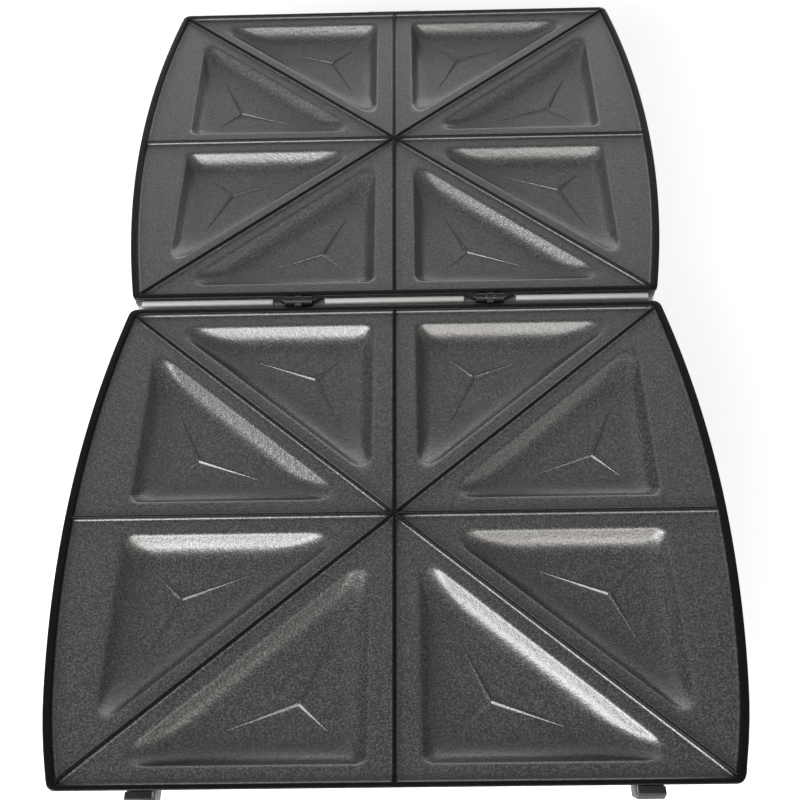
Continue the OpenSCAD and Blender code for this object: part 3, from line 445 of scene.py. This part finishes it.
# %% The slow change of tone over a large surface
mottle, g_in, g_out = new_group(
    "mottle", [("Vector", None), ("Scale", 18.0), ("Low", 0.0), ("High", 1.0)], ["Value"])
cloud = node(mottle, 'ShaderNodeTexNoise', Detail=4.0, Roughness=0.55)
level = node(mottle, 'ShaderNodeMapRange', From_Min=0.3, From_Max=0.7)
mottle.links.new(g_in.outputs["Vector"], cloud.inputs["Vector"])
mottle.links.new(g_in.outputs["Scale"], cloud.inputs["Scale"])
mottle.links.new(cloud.outputs["Fac"], level.inputs["Value"])
mottle.links.new(g_in.outputs["Low"], level.inputs["To Min"])
mottle.links.new(g_in.outputs["High"], level.inputs["To Max"])
mottle.links.new(level.outputs["Result"], g_out.inputs["Value"])


# %% [markdown]
# ### One recipe for every solid finish
# Each finish is a Principled BSDF with two tones mixed by the speckle, a roughness that wanders a
# little with the mottle, and a fine bump. What differs between a coating, a moulding and a sheet of
# metal is the numbers, so they are the arguments here. Colours are linear values.

# %% Finish builder
def finish(name, dark, light, rough, grain=900.0, bump=0.15, bump_mm=0.02, metal=0.0,
           stretch=(1, 1, 1), sheen=0.5, clear=0.0, ior=1.5):
    mat = bpy.data.materials.new(name)
    mat.use_nodes = True
    tree = mat.node_tree
    tree.nodes.clear()
    out = tree.nodes.new('ShaderNodeOutputMaterial')
    bsdf = tree.nodes.new('ShaderNodeBsdfPrincipled')
    bsdf.inputs["Metallic"].default_value = metal
    bsdf.inputs["Specular IOR Level"].default_value = sheen
    bsdf.inputs["Transmission Weight"].default_value = clear
    bsdf.inputs["IOR"].default_value = ior
    where = tree.nodes.new('ShaderNodeTexCoord')
    place = tree.nodes.new('ShaderNodeMapping')
    place.inputs["Scale"].default_value = stretch
    grains = tree.nodes.new('ShaderNodeGroup')
    grains.node_tree = speckle
    grains.inputs["Scale"].default_value = grain
    tones = tree.nodes.new('ShaderNodeGroup')
    tones.node_tree = mottle
    tones.inputs["Low"].default_value = rough[0]
    tones.inputs["High"].default_value = rough[1]
    mix = tree.nodes.new('ShaderNodeMix')
    mix.data_type = 'RGBA'
    mix.inputs[6].default_value = (*dark, 1)
    mix.inputs[7].default_value = (*light, 1)
    bumps = tree.nodes.new('ShaderNodeBump')
    bumps.inputs["Strength"].default_value = bump
    bumps.inputs["Distance"].default_value = bump_mm / 1000
    link = tree.links.new
    link(where.outputs["Object"], place.inputs["Vector"])
    link(place.outputs["Vector"], grains.inputs["Vector"])
    link(where.outputs["Object"], tones.inputs["Vector"])
    link(grains.outputs["Mask"], mix.inputs[0])
    link(mix.outputs[2], bsdf.inputs["Base Color"])
    link(tones.outputs["Value"], bsdf.inputs["Roughness"])
    link(grains.outputs["Height"], bumps.inputs["Height"])
    link(bumps.outputs["Normal"], bsdf.inputs["Normal"])
    link(bsdf.outputs["BSDF"], out.inputs["Surface"])
    return mat


# %% The finishes of the record's material slots
finishes = {
    "housing_plastic": finish("white_gloss_housing", (0.57, 0.567, 0.558), (0.61, 0.607, 0.598),
                              (0.2, 0.3), grain=1500, bump=0.05, bump_mm=0.01),
    "nonstick_plate": finish("nonstick_coating", (0.004, 0.0045, 0.0045), (0.142, 0.153, 0.15),
                             (0.33, 0.41), grain=1250, bump=1.0, bump_mm=0.13, sheen=1.0, ior=1.87),
    "heater_sheath": finish("oxidised_heater_sheath", (0.1, 0.095, 0.09), (0.2, 0.195, 0.19),
                            (0.4, 0.6), grain=700, metal=0.9),
    "bright_steel": finish("bright_plated_steel", (0.55, 0.55, 0.56), (0.7, 0.7, 0.71),
                           (0.22, 0.34), grain=2500, bump=0.05, metal=1.0),
    "reflector_sheet": finish("rolled_reflector_sheet", (0.62, 0.62, 0.63), (0.74, 0.74, 0.75),
                              (0.28, 0.4), grain=900, bump=0.1, metal=1.0, stretch=(0.05, 1, 1)),
    "black_plastic": finish("black_moulding", (0.011, 0.011, 0.0115), (0.02, 0.02, 0.021),
                            (0.36, 0.46), grain=2200, bump=0.25, bump_mm=0.03),
    "foot_rubber": finish("foot_rubber", (0.018, 0.018, 0.019), (0.035, 0.035, 0.036),
                          (0.7, 0.85), grain=1200),
    "block_plastic": finish("cream_terminal_block", (0.66, 0.6, 0.48), (0.72, 0.66, 0.54),
                            (0.4, 0.5), grain=1800),
    "lock_plastic": finish("grey_lock_moulding", (0.02, 0.02, 0.021), (0.034, 0.034, 0.035),
                           (0.3, 0.4), grain=2000, bump=0.2),
    "ceramic": finish("fired_ceramic", (0.58, 0.52, 0.43), (0.68, 0.62, 0.52), (0.45, 0.6),
                      grain=1500, bump=0.3),
    "brass_case": finish("tarnished_brass", (0.45, 0.31, 0.1), (0.6, 0.44, 0.18), (0.3, 0.45),
                         metal=1.0),
    "board": finish("paper_laminate_board", (0.3, 0.17, 0.06), (0.38, 0.23, 0.09), (0.45, 0.6),
                    grain=600, stretch=(1, 6, 6)),
    "lamp_glass": finish("lamp_glass", (0.95, 0.72, 0.5), (1.0, 0.8, 0.6), (0.03, 0.08),
                         clear=0.85, bump=0.02),
    "red_lens": finish("red_lens", (0.5, 0.008, 0.006), (0.62, 0.015, 0.01), (0.08, 0.14),
                       clear=0.5, bump=0.03),
    "green_lens": finish("green_lens", (0.01, 0.3, 0.04), (0.02, 0.42, 0.07), (0.08, 0.14),
                         clear=0.5, bump=0.03),
}

# %% [markdown]
# The narrow tops of the rims and ribs carry painted shade: they are the same coating as the decks,
# made blacker and duller there. Both plates have these tops at one height, so a mask from the height
# darkens the colour as painted shade and takes the sheen off there.

# %% Painted shade on the rims and ribs of the plates
coating = finishes["nonstick_plate"].node_tree
coat_bsdf = coating.nodes["Principled BSDF"]
spot = coating.nodes.new('ShaderNodeSeparateXYZ')
# the mask for the painted shade, from the height of the tops of the rims and ribs
painted_shade_mask = node(coating, 'ShaderNodeMapRange', From_Min=(rim_z - 1.7) / 1000,
            From_Max=(rim_z - 1.0) / 1000)
sheen_there = node(coating, 'ShaderNodeMapRange', To_Min=1.0, To_Max=0.12)
painted_shade = coating.nodes.new('ShaderNodeMix')
painted_shade.data_type = 'RGBA'
# painted shade: a near-black colour laid over the coating's own tone on the tops of the rims and ribs
painted_shade.inputs[7].default_value = (0.004, 0.004, 0.0045, 1)
tone = coat_bsdf.inputs["Base Color"].links[0].from_socket
coating.links.new(coating.nodes["Texture Coordinate"].outputs["Object"], spot.inputs[0])
coating.links.new(spot.outputs["Z"], painted_shade_mask.inputs["Value"])
coating.links.new(painted_shade_mask.outputs["Result"], sheen_there.inputs["Value"])
coating.links.new(painted_shade_mask.outputs["Result"], painted_shade.inputs[0])
coating.links.new(tone, painted_shade.inputs[6])
coating.links.new(painted_shade.outputs[2], coat_bsdf.inputs["Base Color"])
coating.links.new(sheen_there.outputs["Result"], coat_bsdf.inputs["Specular IOR Level"])

# %% Give every piece its finish
slot_of = {p["node"]: p["material_slot"] for p in frame["record"]["subparts"]}


def coat_object(obj, mat):
    if not obj.material_slots:
        obj.data.materials.append(None)
    for slot in obj.material_slots:
        slot.link = 'OBJECT'
        slot.material = mat


for name, obj in nodes.items():
    coat_object(obj, finishes[slot_of[name]])
new_pieces = [(lower_plate, "nonstick_plate"), (upper_plate, "nonstick_plate"),
              *((lock, "lock_plastic") for lock in locks), (bead, "housing_plastic")]
for piece, slot in new_pieces:
    coat_object(piece, finishes[slot])
print("finishes on", len(nodes), "nodes")

# %% [markdown]
# ## Floor, light and camera
# The toaster lies on a pale floor under soft studio light. A broad low lamp at the front left is the
# main one. Two weak warm lamps fill from the front and the right, and two behind are what the coated
# decks mirror. A plain white world does the rest.

# %% Floor
floor_tone = 0.86
floor_glow = 0.62      # seen by the camera only, so that the floor is white and keeps its shadow
floor_bm = bmesh.new()
bmesh.ops.create_grid(floor_bm, x_segments=1, y_segments=1, size=6.0)
floor_mesh = bpy.data.meshes.new("floor")
floor_bm.to_mesh(floor_mesh)
floor_bm.free()
floor = bpy.data.objects.new("floor", floor_mesh)
bpy.context.scene.collection.objects.link(floor)
floor_mat = bpy.data.materials.new("floor_paper")
floor_mat.use_nodes = True
floor_bsdf = floor_mat.node_tree.nodes["Principled BSDF"]
floor_bsdf.inputs["Base Color"].default_value = (floor_tone, floor_tone, floor_tone, 1)
floor_bsdf.inputs["Roughness"].default_value = 0.8
floor_bsdf.inputs["Emission Color"].default_value = (1, 1, 1, 1)
ray = floor_mat.node_tree.nodes.new('ShaderNodeLightPath')
seen = node(floor_mat.node_tree, 'ShaderNodeMath', operation='MULTIPLY')
seen.inputs[1].default_value = floor_glow
floor_mat.node_tree.links.new(ray.outputs["Is Camera Ray"], seen.inputs[0])
floor_mat.node_tree.links.new(seen.outputs[0], floor_bsdf.inputs["Emission Strength"])
floor.data.materials.append(floor_mat)


# %% Lamps and world
def softbox(name, at, target, width, height, power):
    light = bpy.data.lights.new(name, 'AREA')
    light.shape = 'RECTANGLE'
    light.size, light.size_y = width, height
    light.energy = power
    lamp = bpy.data.objects.new(name, light)
    lamp.location = at
    lamp.rotation_euler = (Vector(target) - Vector(at)).to_track_quat('-Z', 'Y').to_euler()
    bpy.context.scene.collection.objects.link(lamp)
    return lamp


middle = (0, -0.1, 0.03)
warm = (1.0, 0.93, 0.86)
softbox("window", (-1.05, -1.5, 0.74), middle, 1.9, 0.95, 44)
softbox("front_fill", (0.5, -1.7, 0.85), middle, 1.1, 0.7, 10.5).data.color = warm
softbox("rear_strip", (0.1, 2.2, 0.38), (0, 0, 0.03), 3.0, 0.6, 12)
softbox("rear_sky", (-0.2, 2.0, 1.5), (0, 0, 0.03), 3.6, 1.5, 5)
softbox("right_fill", (1.9, -0.5, 0.4), middle, 1.0, 0.5, 2.1).data.color = warm
world = bpy.data.worlds.new("studio")
bpy.context.scene.world = world
world.use_nodes = True
sky = world.node_tree.nodes["Background"]
sky.inputs["Color"].default_value = (1, 1, 1, 1)
ray = world.node_tree.nodes.new('ShaderNodeLightPath')
bright = node(world.node_tree, 'ShaderNodeMapRange', To_Min=0.18, To_Max=1.0)
world.node_tree.links.new(ray.outputs["Is Camera Ray"], bright.inputs["Value"])
world.node_tree.links.new(bright.outputs["Result"], sky.inputs["Strength"])

# %% Camera
camera_data = bpy.data.cameras.new("camera")
camera_data.lens = 51.98
camera_data.sensor_width = 36
camera_data.clip_start = 0.01
camera = bpy.data.objects.new("camera", camera_data)
camera.location = (0.01153, -0.41341, 0.48027)
camera.rotation_euler = [math.radians(a) for a in (37.4844, 1.3026, -0.1827)]
bpy.context.scene.collection.objects.link(camera)
bpy.context.scene.camera = camera
bpy.context.scene.view_settings.view_transform = 'Standard'
